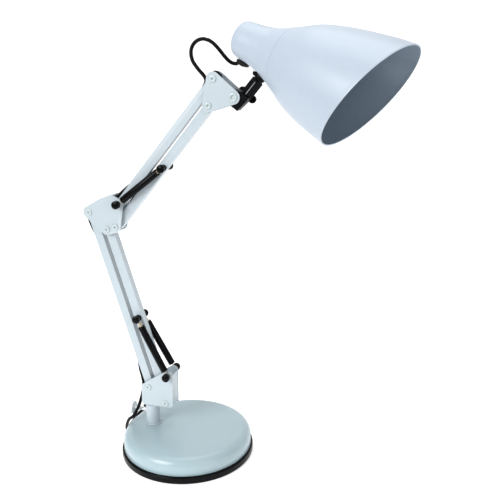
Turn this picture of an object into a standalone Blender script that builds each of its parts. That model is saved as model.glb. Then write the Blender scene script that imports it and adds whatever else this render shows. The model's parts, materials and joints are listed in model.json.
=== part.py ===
"""Swing arm desk lamp, built as separate pieces round its real joints.

The lamp stands on the plane z = 0 with the middle of its round base at the origin. The two parallel
arms lean and turn in the plane y = 0, and the shade is on the +X side. Sizes below are in millimetres
and are turned to metres as each mesh is made.
"""
import math

import bmesh
import bpy
import numpy as np
from mathutils import Matrix, Vector

MM = 0.001
GAP = 0.3  # left between pieces that touch

# Base and post
RING_R, RING_H = 85.0, 9.0
COVER_R, COVER_TOP = 82.4, 30.6
COVER_EDGE = 11.5  # radius of the cover's rounded shoulder
SHEET = 1.2  # thickness of the folded brackets
POST_X, POST_R, POST_TOP = -48.0, 9.0, 58.0
SPINDLE_R = 6.2
KNOB_Z, KNOB_R = 47.6, 8.5

# Pivots, as (x, z). Each arm is a parallelogram of two bars.
LOWER_PIVOT_LEFT = (-48.57, 85.16)
LOWER_PIVOT_RIGHT = (-25.37, 64.86)
LOWER_ARM = (-67.98, 227.30)  # from a bottom pivot to the top pivot of the same bar
ELBOW_PIVOT_LEFT = (-75.38, 325.34)
ELBOW_PIVOT_RIGHT = (-81.60, 295.70)
UPPER_ARM = (124.10, 148.12)
TILT_PIVOT = (72.02, 453.48)
SPRING_PEG_LOW = (-19.94, 105.11)
LOWER_PEG_ALONG = 118.0  # from the bottom pivot to the spring peg, along the right bar
UPPER_PEG_ALONG, UPPER_PEG_OFF = 99.0, 1.5

# Bars: channels of folded sheet
BAR_DEPTH, BAR_HALF_WIDTH, BAR_WALL = 10.7, 4.7, 1.0
BAR_END_R = 5.5
HOLE_R, RIVET_R, RIVET_HEAD_R, RIVET_BORE_R = 2.9, 2.6, 4.2, 1.5
TILT_HEAD_R = 5.2

# Brackets: the outer faces of their two plates are this far from the middle plane
WIDE_HALF, HEAD_HALF = 9.9, 9.4
BRACKET_FOOT, BRACKET_WEB_TOP = 59.5, 104.0

# Springs: sleeves hang between pegs, nearer the middle plane at the far end
PEG_R, CAP_R = 2.0, 5.0
NEAR_SPRING_Y, FAR_SPRING_Y = 12.6, 9.5
SLEEVE_R, SLEEVE_BORE_R = 4.4, 3.6
LOWER_SLEEVE = (7.0, 10.7)  # from each peg's axis to the sleeve's end
UPPER_SLEEVE = (7.2, 7.2)

# Head
STEM_TILT = math.radians(49.76)  # above horizontal
STEM_OFF = 8.46  # from the tilt pivot to the stem's axis, square to it
CLAMP_AHEAD = 7.6  # from the tilt pivot to the clamp screw, along the stem
SHADE_PITCH = math.radians(23.0)  # the shade's axis, below horizontal
SHADE_ORIGIN = (71.7, 518.9)  # the tail end of the shade's axis, before it is swivelled
SHADE_SWIVEL = math.radians(-13.9)  # about the stem's axis
SHADE_WALL = 1.0
MOUTH_S, MOUTH_CUT = 168.9, math.radians(18.6)  # where the axis meets the mouth, and its slant
NECK_END_S = 62.0
# The shade's outline, as (distance along its axis, radius)
NECK_OUTLINE = ((0.0, 8.0), (0.9, 14.5), (3.4, 18.6), (8.0, 20.4), (14.0, 21.3), (26.0, 22.8),
                (42.0, 26.1), (52.0, 29.9), (NECK_END_S, 34.4))
BELL_OUTLINE = ((NECK_END_S + GAP, 34.6), (72.0, 39.5), (82.0, 44.7), (92.0, 49.0), (104.0, 53.0),
                (120.0, 57.0), (138.0, 60.6), (156.0, 63.6), (172.0, 65.9), (186.0, 67.0),
                (202.0, 67.4))

# Cord
CORD_D = 4.2
CORD_R = CORD_D / 2
GLAND_S = 17.5
COIL_X, COIL_Y, COIL_MEAN_R = -74.2, 84.0, 21.4
COIL_WIDE, COIL_HIGH = 2, 4  # turns side by side and on top of each other
PLUG_TURN, PLUG_ASIDE, PLUG_AHEAD = math.radians(24.6), -13.6, 22.0

part = bpy.data.collections.new("swing_arm_desk_lamp")
cutters = bpy.data.collections.new("cutters")


def start():
    for old in list(bpy.data.objects):
        bpy.data.objects.remove(old, do_unlink=True)
    bpy.context.scene.collection.children.link(part)
    bpy.context.scene.collection.children.link(cutters)


def finish_material(name, colour, roughness, metallic=0.0):
    made = bpy.data.materials.new(name)
    made.use_nodes = True
    shader = made.node_tree.nodes["Principled BSDF"]
    shader.inputs["Base Color"].default_value = (*colour, 1.0)
    shader.inputs["Roughness"].default_value = roughness
    shader.inputs["Metallic"].default_value = metallic
    made.diffuse_color = (*colour, 1.0)
    return made


# ---- vectors in the arms' plane -------------------------------------------------------------

def add(a, b):
    return (a[0] + b[0], a[1] + b[1])


def sub(a, b):
    return (a[0] - b[0], a[1] - b[1])


def times(a, k):
    return (a[0] * k, a[1] * k)


def unit(a):
    return times(a, 1 / math.hypot(*a))


def left_of(a):
    """a turned a quarter turn, from +X towards +Z."""
    return (-a[1], a[0])


def along(start_point, way, ahead, aside=0.0):
    """A point so far ahead of start_point, and so far to the left of the way."""
    way = unit(way)
    return add(add(start_point, times(way, ahead)), times(left_of(way), aside))


def angle_of(a):
    return math.atan2(a[1], a[0])


LOWER_TOP_LEFT = add(LOWER_PIVOT_LEFT, LOWER_ARM)
LOWER_TOP_RIGHT = add(LOWER_PIVOT_RIGHT, LOWER_ARM)
UPPER_TOP_LEFT = add(ELBOW_PIVOT_LEFT, UPPER_ARM)
UPPER_TOP_RIGHT = add(ELBOW_PIVOT_RIGHT, UPPER_ARM)
LOWER_PEG = along(LOWER_PIVOT_RIGHT, LOWER_ARM, LOWER_PEG_ALONG)
UPPER_PEG = along(ELBOW_PIVOT_RIGHT, UPPER_ARM, UPPER_PEG_ALONG, -UPPER_PEG_OFF)
STEM_WAY = (math.cos(STEM_TILT), math.sin(STEM_TILT))


def on_stem(ahead, aside=0.0):
    """A point by the stem: ahead along it from the tilt pivot, aside to the lower right of it."""
    return along(TILT_PIVOT, STEM_WAY, ahead, -aside)


# ---- making meshes --------------------------------------------------------------------------

def world(point, y=0.0):
    return Vector((point[0] * MM, y * MM, point[1] * MM))


def new_object(name, mesh, material, where=part):
    made = bpy.data.objects.new(name, mesh)
    where.objects.link(made)
    if material is not None:
        mesh.materials.clear()
        mesh.materials.append(material)
    if where is cutters:
        made.hide_render = True
        made.display_type = "WIRE"
    return made


def as_mesh(curve_object, name, material, where=part):
    """The curve's surface as a mesh object, with its caps welded on."""
    bpy.context.view_layer.update()
    seen = curve_object.evaluated_get(bpy.context.evaluated_depsgraph_get())
    mesh = bpy.data.meshes.new_from_object(seen)
    place = curve_object.matrix_world.copy()
    bpy.data.objects.remove(curve_object, do_unlink=True)
    shape = bmesh.new()
    shape.from_mesh(mesh)
    bmesh.ops.remove_doubles(shape, verts=shape.verts, dist=1e-6)
    bmesh.ops.recalc_face_normals(shape, faces=shape.faces)
    shape.to_mesh(mesh)
    shape.free()
    made = new_object(name, mesh, material, where)
    made.matrix_world = place
    return made


def flat_piece(name, outlines, y_low, y_high, material, where=part):
    """A flat piece parallel to the arms' plane: the first outline is its edge and the others are
    holes, each a list of (x, z)."""
    curve = bpy.data.curves.new(name + "_outline", "CURVE")
    curve.dimensions = "2D"
    curve.fill_mode = "BOTH"
    curve.extrude = (y_high - y_low) / 2 * MM
    for outline in outlines:
        spline = curve.splines.new("POLY")
        spline.points.add(len(outline) - 1)
        for spot, (x, z) in zip(spline.points, outline):
            spot.co = (x * MM, z * MM, 0.0, 1.0)
        spline.use_cyclic_u = True
    holder = bpy.data.objects.new(name + "_outline", curve)
    where.objects.link(holder)
    holder.rotation_euler = (math.pi / 2, 0.0, 0.0)
    holder.location = (0.0, (y_low + y_high) / 2 * MM, 0.0)
    return as_mesh(holder, name, material, where)


def arc(centre, radius, first, last, steps):
    """Points round a centre from one angle to another, in degrees."""
    turns = np.radians(np.linspace(first, last, steps + 1))
    return [(centre[0] + radius * math.cos(t), centre[1] + radius * math.sin(t)) for t in turns]


def circle(centre, radius, steps=12):
    return arc(centre, radius, 0, 360, steps)[:-1]


def rounded_hull(corners, steps=4):
    """The outline round circles given as (centre, radius), anticlockwise. Each quarter of a circle
    gets so many steps."""
    spots = []
    for centre, radius in corners:
        spots += circle(centre, radius, steps * 4)
    spots = sorted(set(spots))
    sides = []
    for ordered in (spots, spots[::-1]):
        side = []
        for spot in ordered:
            while len(side) > 1 and turn_left(side[-2], side[-1], spot) < 0.02:
                side.pop()
            side.append(spot)
        sides += side[:-1]
    return sides


def turn_left(a, b, c):
    """Above zero where a, b and c turn to the left."""
    (ux, uz), (vx, vz) = sub(b, a), sub(c, b)
    return ux * vz - uz * vx


def bar_piece(name, low, high, material, where=part):
    """A box between two corners, in mm."""
    shape = bmesh.new()
    bmesh.ops.create_cube(shape, size=1.0)
    for vert in shape.verts:
        for k in range(3):
            vert.co[k] = (low[k] if vert.co[k] < 0 else high[k]) * MM
    mesh = bpy.data.meshes.new(name)
    shape.to_mesh(mesh)
    shape.free()
    return new_object(name, mesh, material, where)


def turned(name, profile, material, place, steps=16, where=part, closed=True):
    """A turned piece. The profile is (radius, height) down its outer side, and back up its bore if
    it has one. place is the matrix that puts its axis, +Z, where it belongs."""
    mesh = bpy.data.meshes.new(name)
    count = len(profile)
    edges = [(i, i + 1) for i in range(count - 1)]
    if closed:
        edges.append((count - 1, 0))
    mesh.from_pydata([(r * MM, 0.0, h * MM) for r, h in profile], edges, [])
    made = new_object(name, mesh, material, where)
    screw = made.modifiers.new("turn", "SCREW")
    screw.axis = "Z"
    screw.steps = steps
    screw.render_steps = steps
    screw.use_merge_vertices = True
    screw.merge_threshold = 1e-5
    screw.use_smooth_shade = True
    made.matrix_world = place
    return made


def axis_place(origin, way):
    """A matrix whose +Z runs along way from origin, in metres."""
    way = Vector(way).normalized()
    turn = way.to_track_quat("Z", "Y").to_matrix().to_4x4()
    return Matrix.Translation(origin) @ turn


ALONG_Y = (0.0, 1.0, 0.0)


def pin_place(point):
    return axis_place(world(point), ALONG_Y)


def combine(target, tool, operation):
    """A Boolean that keeps its tool out of the render."""
    step = target.modifiers.new(operation.lower(), "BOOLEAN")
    step.operation = operation
    step.solver = "EXACT"
    step.object = tool
    return target


def weld_pieces(name, pieces, material):
    """One piece from several shapes that run into each other, and on its own mesh."""
    first, rest = pieces[0], pieces[1:]
    for piece in rest:
        combine(first, piece, "UNION")
    bpy.context.view_layer.update()
    seen = first.evaluated_get(bpy.context.evaluated_depsgraph_get())
    mesh = bpy.data.meshes.new_from_object(seen)
    place = first.matrix_world.copy()
    for piece in pieces:
        bpy.data.objects.remove(piece, do_unlink=True)
    made = new_object(name, mesh, material)
    made.matrix_world = place
    return made


def move_origin(piece, point, y=0.0):
    """Puts a piece's origin on its joint's axis."""
    bpy.context.view_layer.update()
    spot = world(point, y)
    piece.data.transform(Matrix.Translation(-spot) @ piece.matrix_world)
    piece.matrix_world = Matrix.Translation(spot)
    return piece


# ---- smooth routes --------------------------------------------------------------------------

def smooth_route(points, spacing):
    """Points about spacing apart on a smooth curve through the given ones."""
    knots = np.array(points, float)
    ends = [2 * knots[0] - knots[1], *knots, 2 * knots[-1] - knots[-2]]
    fine = []
    for a, b, c, d in zip(ends, ends[1:], ends[2:], ends[3:]):
        for t in np.linspace(0, 1, 24, endpoint=False):
            fine.append(0.5 * (2 * b + (c - a) * t + (2 * a - 5 * b + 4 * c - d) * t ** 2
                               + (3 * b - a - 3 * c + d) * t ** 3))
    fine = np.array([*fine, knots[-1]])
    run = np.concatenate([[0], np.cumsum(np.linalg.norm(np.diff(fine, axis=0), axis=1))])
    stops = np.linspace(0, run[-1], max(3, round(run[-1] / spacing)) + 1)
    return np.stack([np.interp(stops, run, fine[:, k]) for k in range(3)], 1)


def tube(name, route, radius, material, spacing=2.4 * CORD_D, resolution=2):
    """A round tube along a smooth route of (x, y, z)."""
    curve = bpy.data.curves.new(name, "CURVE")
    curve.dimensions = "3D"
    curve.bevel_depth = radius * MM
    curve.bevel_resolution = resolution
    curve.use_fill_caps = True
    spots = smooth_route(route, spacing)
    spline = curve.splines.new("POLY")
    spline.points.add(len(spots) - 1)
    for spot, xyz in zip(spline.points, spots):
        spot.co = (*(xyz * MM), 1.0)
    holder = bpy.data.objects.new(name, curve)
    part.objects.link(holder)
    return as_mesh(holder, name, material)


# ---- base -----------------------------------------------------------------------------------

def build_base(m):
    upright = Matrix.Identity(4)
    ring_in = 70.0
    turned("base_ring", [(RING_R - 1.2, RING_H), (RING_R, RING_H - 1.2), (RING_R, 1.0),
                         (RING_R - 1.0, 0.0), (ring_in, 0.0), (ring_in, 3.6), (80.6, 3.6),
                         (80.6, RING_H)], m["black_plastic"], upright, 48)
    shoulder = [(COVER_R - COVER_EDGE + COVER_EDGE * math.cos(t),
                 COVER_TOP - COVER_EDGE + COVER_EDGE * math.sin(t))
                for t in np.radians(np.linspace(90, 0, 7))]
    inner_r = COVER_R - SHEET
    inside = [(inner_r - COVER_EDGE + COVER_EDGE * math.cos(t),
               COVER_TOP - SHEET - COVER_EDGE + COVER_EDGE * math.sin(t))
              for t in np.radians(np.linspace(0, 90, 7))]
    cover_foot = RING_H + GAP
    cover = turned("base_cover", [(0.0, COVER_TOP), *shoulder, (COVER_R, cover_foot),
                                  (inner_r, cover_foot), *inside, (0.0, COVER_TOP - SHEET)],
                   m["painted_white"], upright, 48, closed=False)
    weight = turned("base_weight", [(0.0, 28.2), (71.0, 28.2), (75.0, 22.0), (75.0, 4.0),
                                    (0.0, 4.0)], m["cast_iron"], upright, 36, closed=False)
    turned("base_pad", [(0.0, 3.4), (69.6, 3.4), (69.6, 0.0), (0.0, 0.0)], m["rubber"], upright,
           36, closed=False)
    post_hole = bar_cutter("post_hole", (POST_X, 0.0), 5.6, 2.0, 40.0)
    combine(cover, post_hole, "DIFFERENCE")
    combine(weight, post_hole, "DIFFERENCE")
    post_axis = Matrix.Translation((POST_X * MM, 0.0, 0.0))
    turned("post_stud", [(0.0, 35.6), (5.3, 35.6), (5.3, 4.3), (0.0, 4.3)], m["steel"],
           post_axis, 16, closed=False)
    foot = COVER_TOP + GAP
    post = turned("post_tube", [(SPINDLE_R + 0.3, POST_TOP), (POST_R - 0.8, POST_TOP),
                                (POST_R, POST_TOP - 0.8), (POST_R, foot), (5.6, foot),
                                (5.6, 35.9), (SPINDLE_R + 0.3, 37.1)], m["painted_white"],
                  post_axis, 24)
    screw_hole = new_cylinder("screw_hole", world((POST_X - 8.0, KNOB_Z)), (1, 0, 0), 2.8, 14.0,
                              cutters)
    combine(post, screw_hole, "DIFFERENCE")


def new_cylinder(name, centre, way, radius, length, where, steps=16):
    shape = bmesh.new()
    bmesh.ops.create_cone(shape, cap_ends=True, segments=steps, radius1=radius * MM,
                          radius2=radius * MM, depth=length * MM)
    mesh = bpy.data.meshes.new(name)
    shape.to_mesh(mesh)
    shape.free()
    made = new_object(name, mesh, None, where)
    made.matrix_world = axis_place(centre, way)
    return made


def bar_cutter(name, xy, radius, low, high):
    centre = Vector((xy[0] * MM, xy[1] * MM, (low + high) / 2 * MM))
    return new_cylinder(name, centre, (0, 0, 1), radius, high - low, cutters)


def build_thumbscrew(m):
    """A knurled plastic knob on a steel shank that clamps the spindle in the post."""
    inner = POST_X - SPINDLE_R - 0.7
    face = POST_X - 26.5
    outer = face - 5.6
    place = axis_place(world((0.0, KNOB_Z)), (-1, 0, 0))
    turned("thumbscrew", [(0.0, -outer), (KNOB_R - 1.2, -outer), (KNOB_R, -outer - 1.2),
                          (KNOB_R, -face + 1.0), (KNOB_R - 1.0, -face), (2.4, -face),
                          (2.4, -inner), (0.0, -inner)], m["gloss_white"], place, 20,
           closed=False)


# ---- brackets -------------------------------------------------------------------------------

def build_lower_bracket(m):
    peg, left, right = SPRING_PEG_LOW, LOWER_PIVOT_LEFT, LOWER_PIVOT_RIGHT
    edge = rounded_hull([((-53.4, 64.5), 5.0), ((-20.3, 65.2), 5.2), (peg, 5.6),
                         (along(peg, (-1, -0.58), 15.0), 5.6), ((-52.2, 84.6), 5.6)])
    web_x = -15.1 - SHEET
    shapes = []
    for side in (-1, 1):
        low, high = sorted((side * WIDE_HALF, side * (WIDE_HALF - SHEET)))
        shapes.append(flat_piece("plate", [edge, circle(left, HOLE_R), circle(right, HOLE_R)],
                                 low, high, None))
    inset = 0.1
    web = bar_piece("web", (web_x, -WIDE_HALF + inset, BRACKET_FOOT + 4.0),
                    (web_x + SHEET, WIDE_HALF - inset, BRACKET_WEB_TOP), None)
    foot = bar_piece("foot", (-56.5, -WIDE_HALF + inset, BRACKET_FOOT + inset),
                     (-36.5, WIDE_HALF - inset, BRACKET_FOOT + inset + 1.6), None)
    pegs = [new_cylinder("peg", world(peg, side * 14.3), ALONG_Y, PEG_R, 10.0, part, 12)
            for side in (-1, 1)]
    bracket = weld_pieces("lower_bracket", [*shapes, web, foot, *pegs], m["painted_white"])
    combine(bracket, bar_cutter("spindle_hole", (POST_X, 0.0), 4.3, 50.0, 70.0), "DIFFERENCE")
    move_origin(bracket, (POST_X, BRACKET_FOOT))
    top = BRACKET_FOOT + 0.1 + 1.6 + GAP
    turned("bracket_spindle", [(0.0, top + 1.6), (6.2, top + 1.6), (6.2, top), (4.0, top),
                               (4.0, POST_TOP + 1.2), (SPINDLE_R, POST_TOP + 1.2),
                               (SPINDLE_R, 38.6), (0.0, 38.6)], m["steel"],
           Matrix.Translation((POST_X * MM, 0.0, 0.0)), 16, closed=False)


def build_rivet(name, point, half, head, material):
    """A tubular rivet across a bracket, with a rolled head of radius head outside each plate."""
    far, near = half + GAP + 1.0, half + GAP
    turned(name, [(RIVET_BORE_R, far), (head - 0.4, far), (head, near), (RIVET_R, near),
                  (RIVET_R, -near), (head, -near), (head - 0.4, -far), (RIVET_BORE_R, -far)],
           material, pin_place(point), 12)


def build_elbow_bracket(m):
    left, right = LOWER_TOP_LEFT, LOWER_TOP_RIGHT
    edge = rounded_hull([(right, 7.2), (ELBOW_PIVOT_RIGHT, 7.0), (ELBOW_PIVOT_LEFT, 6.0),
                         ((-84.0, 330.6), 4.4), ((-97.5, 327.0), 4.4), ((-108.0, 321.0), 4.4),
                         (left, 7.6)])
    holes = [circle(p, HOLE_R) for p in (left, right, ELBOW_PIVOT_RIGHT)]
    holes.append(circle(ELBOW_PIVOT_LEFT, PEG_R + GAP))
    shapes = []
    for side in (-1, 1):
        low, high = sorted((side * WIDE_HALF, side * (WIDE_HALF - SHEET)))
        shapes.append(flat_piece("plate", [edge, *holes], low, high, None))
    outer = [(-106.9, 326.0), (-97.6, 331.2), (-85.8, 334.7)]
    inner = [add(p, (0.45, -1.3)) for p in reversed(outer)]
    inset = 0.1
    roof = flat_piece("roof", [outer + inner], -WIDE_HALF + inset, WIDE_HALF - inset, None)
    bracket = weld_pieces("elbow_bracket", [*shapes, roof], m["painted_white"])
    move_origin(bracket, left)
    turned("elbow_peg_pin", [(0.0, 19.3), (PEG_R, 19.3), (PEG_R, -19.3), (0.0, -19.3)], m["steel"],
           pin_place(ELBOW_PIVOT_LEFT), 12, closed=False)


def build_head_bracket(m):
    edge = rounded_hull([(UPPER_TOP_RIGHT, 7.4), (TILT_PIVOT, 7.9), (UPPER_TOP_LEFT, 8.0)])
    holes = [circle(p, HOLE_R) for p in (UPPER_TOP_LEFT, UPPER_TOP_RIGHT, TILT_PIVOT)]
    for name, side in (("head_plate_front", -1), ("head_plate_rear", 1)):
        low, high = sorted((side * HEAD_HALF, side * (HEAD_HALF - SHEET)))
        plate = flat_piece(name, [edge, *holes], low, high, m["painted_white"])
        move_origin(plate, UPPER_TOP_LEFT)


# ---- bars -----------------------------------------------------------------------------------

def build_bar(name, foot, way, open_side, m, peg=None):
    """A channel from one pivot to the next. open_side is 1 where it is open on the left of the
    way and -1 where it is open on the right. A spring peg is welded through it at peg."""
    length = math.hypot(*way)
    half = BAR_DEPTH / 2
    head = along(foot, way, length)
    edge = rounded_hull([(foot, half), (head, half)], 4)
    holes = [circle(foot, HOLE_R), circle(head, HOLE_R)]
    shapes = []
    for side in (-1, 1):
        low, high = sorted((side * BAR_HALF_WIDTH, side * (BAR_HALF_WIDTH - BAR_WALL)))
        shapes.append(flat_piece("flange", [edge, *holes], low, high, None))
    closed = -open_side
    web_low, web_high = closed * (half - BAR_WALL - 0.1), closed * (half - 0.1)
    web_edge = [along(foot, way, a, s) for a, s in
                ((0.5, web_low), (length - 0.5, web_low), (length - 0.5, web_high),
                 (0.5, web_high))]
    inset = 0.3
    shapes.append(flat_piece("web", [web_edge], -BAR_HALF_WIDTH + inset,
                             BAR_HALF_WIDTH - inset, None))
    if peg is not None:
        shapes.append(new_cylinder("peg", world(peg), ALONG_Y, PEG_R, 26.4, part, 12))
    bar = weld_pieces(name, shapes, m["painted_white"])
    move_origin(bar, foot)


# ---- springs --------------------------------------------------------------------------------

def build_cap(name, point, side, centre_y, length, m):
    """A rubber cap pushed on a peg's end, with a rounded face."""
    near, far = centre_y - length / 2, centre_y + length / 2
    peg_end = far - 1.4
    turned(name, [(0.0, far), (CAP_R - 1.6, far), (CAP_R, far - 1.6), (CAP_R, near),
                  (PEG_R + 0.7, near), (PEG_R + 0.7, peg_end), (0.0, peg_end)], m["rubber"],
           axis_place(world(point), (0, side, 0)), 14, closed=False)


def build_spring(names, near, far, ends, side, m):
    """A tension spring in its sleeve. The sleeve hangs from the near peg by its own eye, and the
    spring's core runs from inside it to the far peg."""
    sleeve_name, core_name = names
    start_point = np.array((near[0], side * NEAR_SPRING_Y, near[1]))
    end_point = np.array((far[0], side * FAR_SPRING_Y, far[1]))
    run = end_point - start_point
    length = float(np.linalg.norm(run))
    way = run / length
    place = axis_place(Vector(start_point * MM), way)
    first, last = ends[0], length - ends[1]
    sleeve = turned("sleeve", [(SLEEVE_BORE_R, last), (SLEEVE_R, last), (SLEEVE_R, first),
                               (0.0, first), (0.0, first + 1.2), (SLEEVE_BORE_R, first + 1.2)],
                    None, place, 14, closed=False)
    sleeve.data.materials.clear()
    close_profile(sleeve)
    eye_near = ring("eye_near", start_point, 3.0, 0.8)
    link_near = new_cylinder("link", Vector((start_point + way * (first / 2 + 1.6)) * MM), way,
                             0.8, first - 3.0 + 1.2, part, 8)
    sleeve = weld_pieces(sleeve_name, [sleeve, eye_near, link_near], m["rubber"])
    move_origin(sleeve, near)
    core_reach = 40.0
    eye_far = ring("eye_far", end_point, 3.0, 0.8)
    core = new_cylinder("core", Vector((end_point - way * (core_reach / 2 + 5.8)) * MM), way,
                        2.2, core_reach, part, 12)
    link_far = new_cylinder("link", Vector((end_point - way * 4.6) * MM), way, 0.8, 3.6, part, 8)
    core = weld_pieces(core_name, [core, eye_far, link_far], m["steel"])
    move_origin(core, far)


def close_profile(piece):
    """Joins the profile's last point to its first."""
    mesh = piece.data
    spots = [v.co.copy() for v in mesh.vertices]
    edges = [tuple(e.vertices) for e in mesh.edges] + [(len(spots) - 1, 0)]
    mesh.clear_geometry()
    mesh.from_pydata(spots, edges, [])


def ring(name, centre, radius, wire):
    """A spring's end loop round a peg."""
    bpy.ops.mesh.primitive_torus_add(major_radius=radius * MM, minor_radius=wire * MM,
                                     major_segments=10, minor_segments=5)
    made = bpy.context.object
    made.name = name
    for holder in list(made.users_collection):
        holder.objects.unlink(made)
    part.objects.link(made)
    made.matrix_world = axis_place(Vector(np.array(centre) * MM), ALONG_Y)
    return made


# ---- head -----------------------------------------------------------------------------------

def stem_place(ahead):
    """A matrix with its +Z along the stem, its +X in the arms' plane, and its origin on the
    stem's axis."""
    spot = world(on_stem(ahead, STEM_OFF))
    z = Vector((STEM_WAY[0], 0.0, STEM_WAY[1]))
    y = Vector((0.0, 1.0, 0.0))
    x = y.cross(z)
    turn = Matrix((x, y, z)).transposed().to_4x4()
    return Matrix.Translation(spot) @ turn


def build_tilt_block(m):
    """The block that tilts between the head plates. The stem's spigot turns in its socket."""
    outline = [on_stem(a, s) for a, s in ((-9.6, 2.8), (-9.0, 12.6), (7.0, 14.4), (10.4, 13.6),
                                         (10.4, 2.6), (7.2, -4.6), (1.0, -6.6), (-5.6, -4.4))]
    half = 7.2
    block = flat_piece("tilt_block", [outline, circle(TILT_PIVOT, HOLE_R)], -half, half,
                       m["black_plastic"])
    socket = new_cylinder("socket", stem_place(5.0).translation, stem_place(0).col[2][:3], 4.0,
                          14.0, cutters)
    combine(block, socket, "DIFFERENCE")
    screw_centre = world(on_stem(CLAMP_AHEAD, STEM_OFF), 5.0)
    combine(block, new_cylinder("screw_way", screw_centre, ALONG_Y, 1.9, 9.0, cutters),
            "DIFFERENCE")
    place = pin_place(on_stem(CLAMP_AHEAD, STEM_OFF))
    inner, near, far = 4.1, HEAD_HALF + 1.7, HEAD_HALF + 6.1
    shank = turned("shank", [(0.0, far), (4.4, far), (4.8, far - 1.0), (4.8, near), (1.6, near),
                             (1.6, inner), (0.0, inner)], None, place, 14, closed=False)
    wings = []
    for reach in (-9.2, 5.8):
        tip = on_stem(CLAMP_AHEAD, STEM_OFF + reach)
        wings.append(flat_piece("wing", [rounded_hull([(on_stem(CLAMP_AHEAD, STEM_OFF), 3.0),
                                                       (tip, 4.6)])], near + 0.5, far - 0.5,
                                None))
    screw = weld_pieces("clamp_screw", [shank, *wings], m["black_plastic"])
    move_origin(screw, on_stem(CLAMP_AHEAD, STEM_OFF))


def build_stem(m):
    """A ridged stem with a round spigot below and a saddle foot under the shade's neck."""
    shape = bmesh.new()
    bmesh.ops.create_cone(shape, cap_ends=True, segments=4, radius1=7.2 * MM, radius2=7.2 * MM,
                          depth=20.0 * MM)
    mesh = bpy.data.meshes.new("stem")
    shape.to_mesh(mesh)
    shape.free()
    body = new_object("body", mesh, None)
    body.matrix_world = stem_place(10.8 + 10.0)
    spigot = new_cylinder("spigot", stem_place(6.0).translation, stem_place(0).col[2][:3], 3.7,
                          12.0, part)
    flare = turned("flare", [(0.0, 36.0), (6.9, 36.0), (6.9, 35.0), (4.6, 29.0), (0.0, 29.0)],
                   None, stem_place(0), 16, closed=False)
    stem = weld_pieces("stem", [body, spigot, flare], m["black_plastic"])
    combine(stem, neck_cutter(0.35), "DIFFERENCE")
    move_origin(stem, on_stem(10.8, STEM_OFF))


def shade_place():
    """The shade's axis as +Z with its underside towards -X, swivelled about the stem."""
    way = Vector((math.cos(SHADE_PITCH), 0.0, -math.sin(SHADE_PITCH)))
    y = Vector((0.0, 1.0, 0.0))
    x = y.cross(way)
    turn = Matrix((x, y, way)).transposed().to_4x4()
    before = Matrix.Translation(world(SHADE_ORIGIN)) @ turn
    pivot = stem_place(0).translation
    stem_axis = stem_place(0).col[2].to_3d()
    swivel = Matrix.Rotation(SHADE_SWIVEL, 4, stem_axis)
    return Matrix.Translation(pivot) @ swivel @ Matrix.Translation(-pivot) @ before


def shade_point(s, down, y=0.0):
    """A point of the shade in mm: s along its axis, and down from it."""
    spot = shade_place() @ Vector((down * MM, y * MM, s * MM))
    return tuple(v / MM for v in spot)


def neck_cutter(grow):
    profile = [(r + grow, s) for s, r in reversed(NECK_OUTLINE[3:])]
    return turned("neck_shape", [(0.0, NECK_END_S + 4.0), (profile[0][0], NECK_END_S + 4.0),
                                 *profile, (0.0, profile[-1][1])], None, shade_place(), 24,
                  cutters, closed=False)


def shell_profile(outline, wall, inner_start):
    """Down the outside and back up the inside of a shell."""
    outside = [(r, s) for s, r in reversed(outline)]
    inside = [(max(r - wall, 0.5), s) for s, r in outline if s >= inner_start]
    return outside + inside


def build_shade(m):
    place = shade_place()
    closed_end = [(r, s) for s, r in reversed(NECK_OUTLINE)]
    inside = [(0.0, SHADE_WALL + 0.4), (13.2, SHADE_WALL + 0.6), (17.6, 4.6)]
    inside += [(r - SHADE_WALL, s) for s, r in NECK_OUTLINE[3:]]
    neck = turned("neck_housing", [*closed_end, (0.0, 0.0), *inside], m["painted_white"],
                  place, 32)
    combine(neck, new_cylinder("gland_hole", gland_matrix().translation,
                               gland_matrix().col[2][:3], 3.4, 12.0, cutters), "DIFFERENCE")
    screw_place = saddle_matrix()
    combine(neck, new_cylinder("saddle_hole", screw_place.translation,
                               screw_place.col[2][:3], 1.9, 14.0, cutters), "DIFFERENCE")
    bell = turned("shade_bell", shell_profile(BELL_OUTLINE, SHADE_WALL, 0.0),
                  m["painted_white"], place, 44)
    slant = bar_piece("mouth_cut", (-110, -110, 0), (110, 110, 90), None, cutters)
    slant.matrix_world = place @ Matrix.Translation((0, 0, MOUTH_S * MM)) \
        @ Matrix.Rotation(MOUTH_CUT, 4, "Y")
    combine(bell, slant, "DIFFERENCE")
    turned("lamp_holder", [(14.2, 62.0), (18.4, 62.0), (18.4, 24.0), (16.2, 20.0),
                           (16.2, 6.0), (0.0, 6.0), (0.0, 27.0), (14.2, 27.0)],
           m["white_plastic"], place, 24)
    turned("centre_contact", [(0.0, 29.6), (3.6, 29.6), (4.4, 27.3), (0.0, 27.3)], m["brass"],
           place, 12, closed=False)


def gland_matrix():
    """On the neck's underside, with +Z pointing out of it."""
    at = shade_place() @ Matrix.Translation((21.7 * MM, 0.0, GLAND_S * MM))
    return at @ Matrix.Rotation(math.pi / 2, 4, "Y")


def build_gland(m):
    """A strain relief under the neck that takes the cord in at its tail end."""
    edge = [(21.9, 11.6), (23.4, 10.9), (25.2, 11.2), (27.4, 13.2), (27.8, 20.6), (26.4, 24.0),
            (23.4, 24.8)]
    body = flat_piece("body", [edge], -4.4, 4.4, None)
    bpy.context.view_layer.update()
    body.matrix_world = shade_place() @ body.matrix_world
    plug = new_cylinder("plug", gland_matrix().translation, gland_matrix().col[2][:3], 2.6, 8.0,
                        part, 12)
    gland = weld_pieces("cable_gland", [body, plug], m["rubber"])
    move_origin(gland, (0.0, 0.0))


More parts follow.
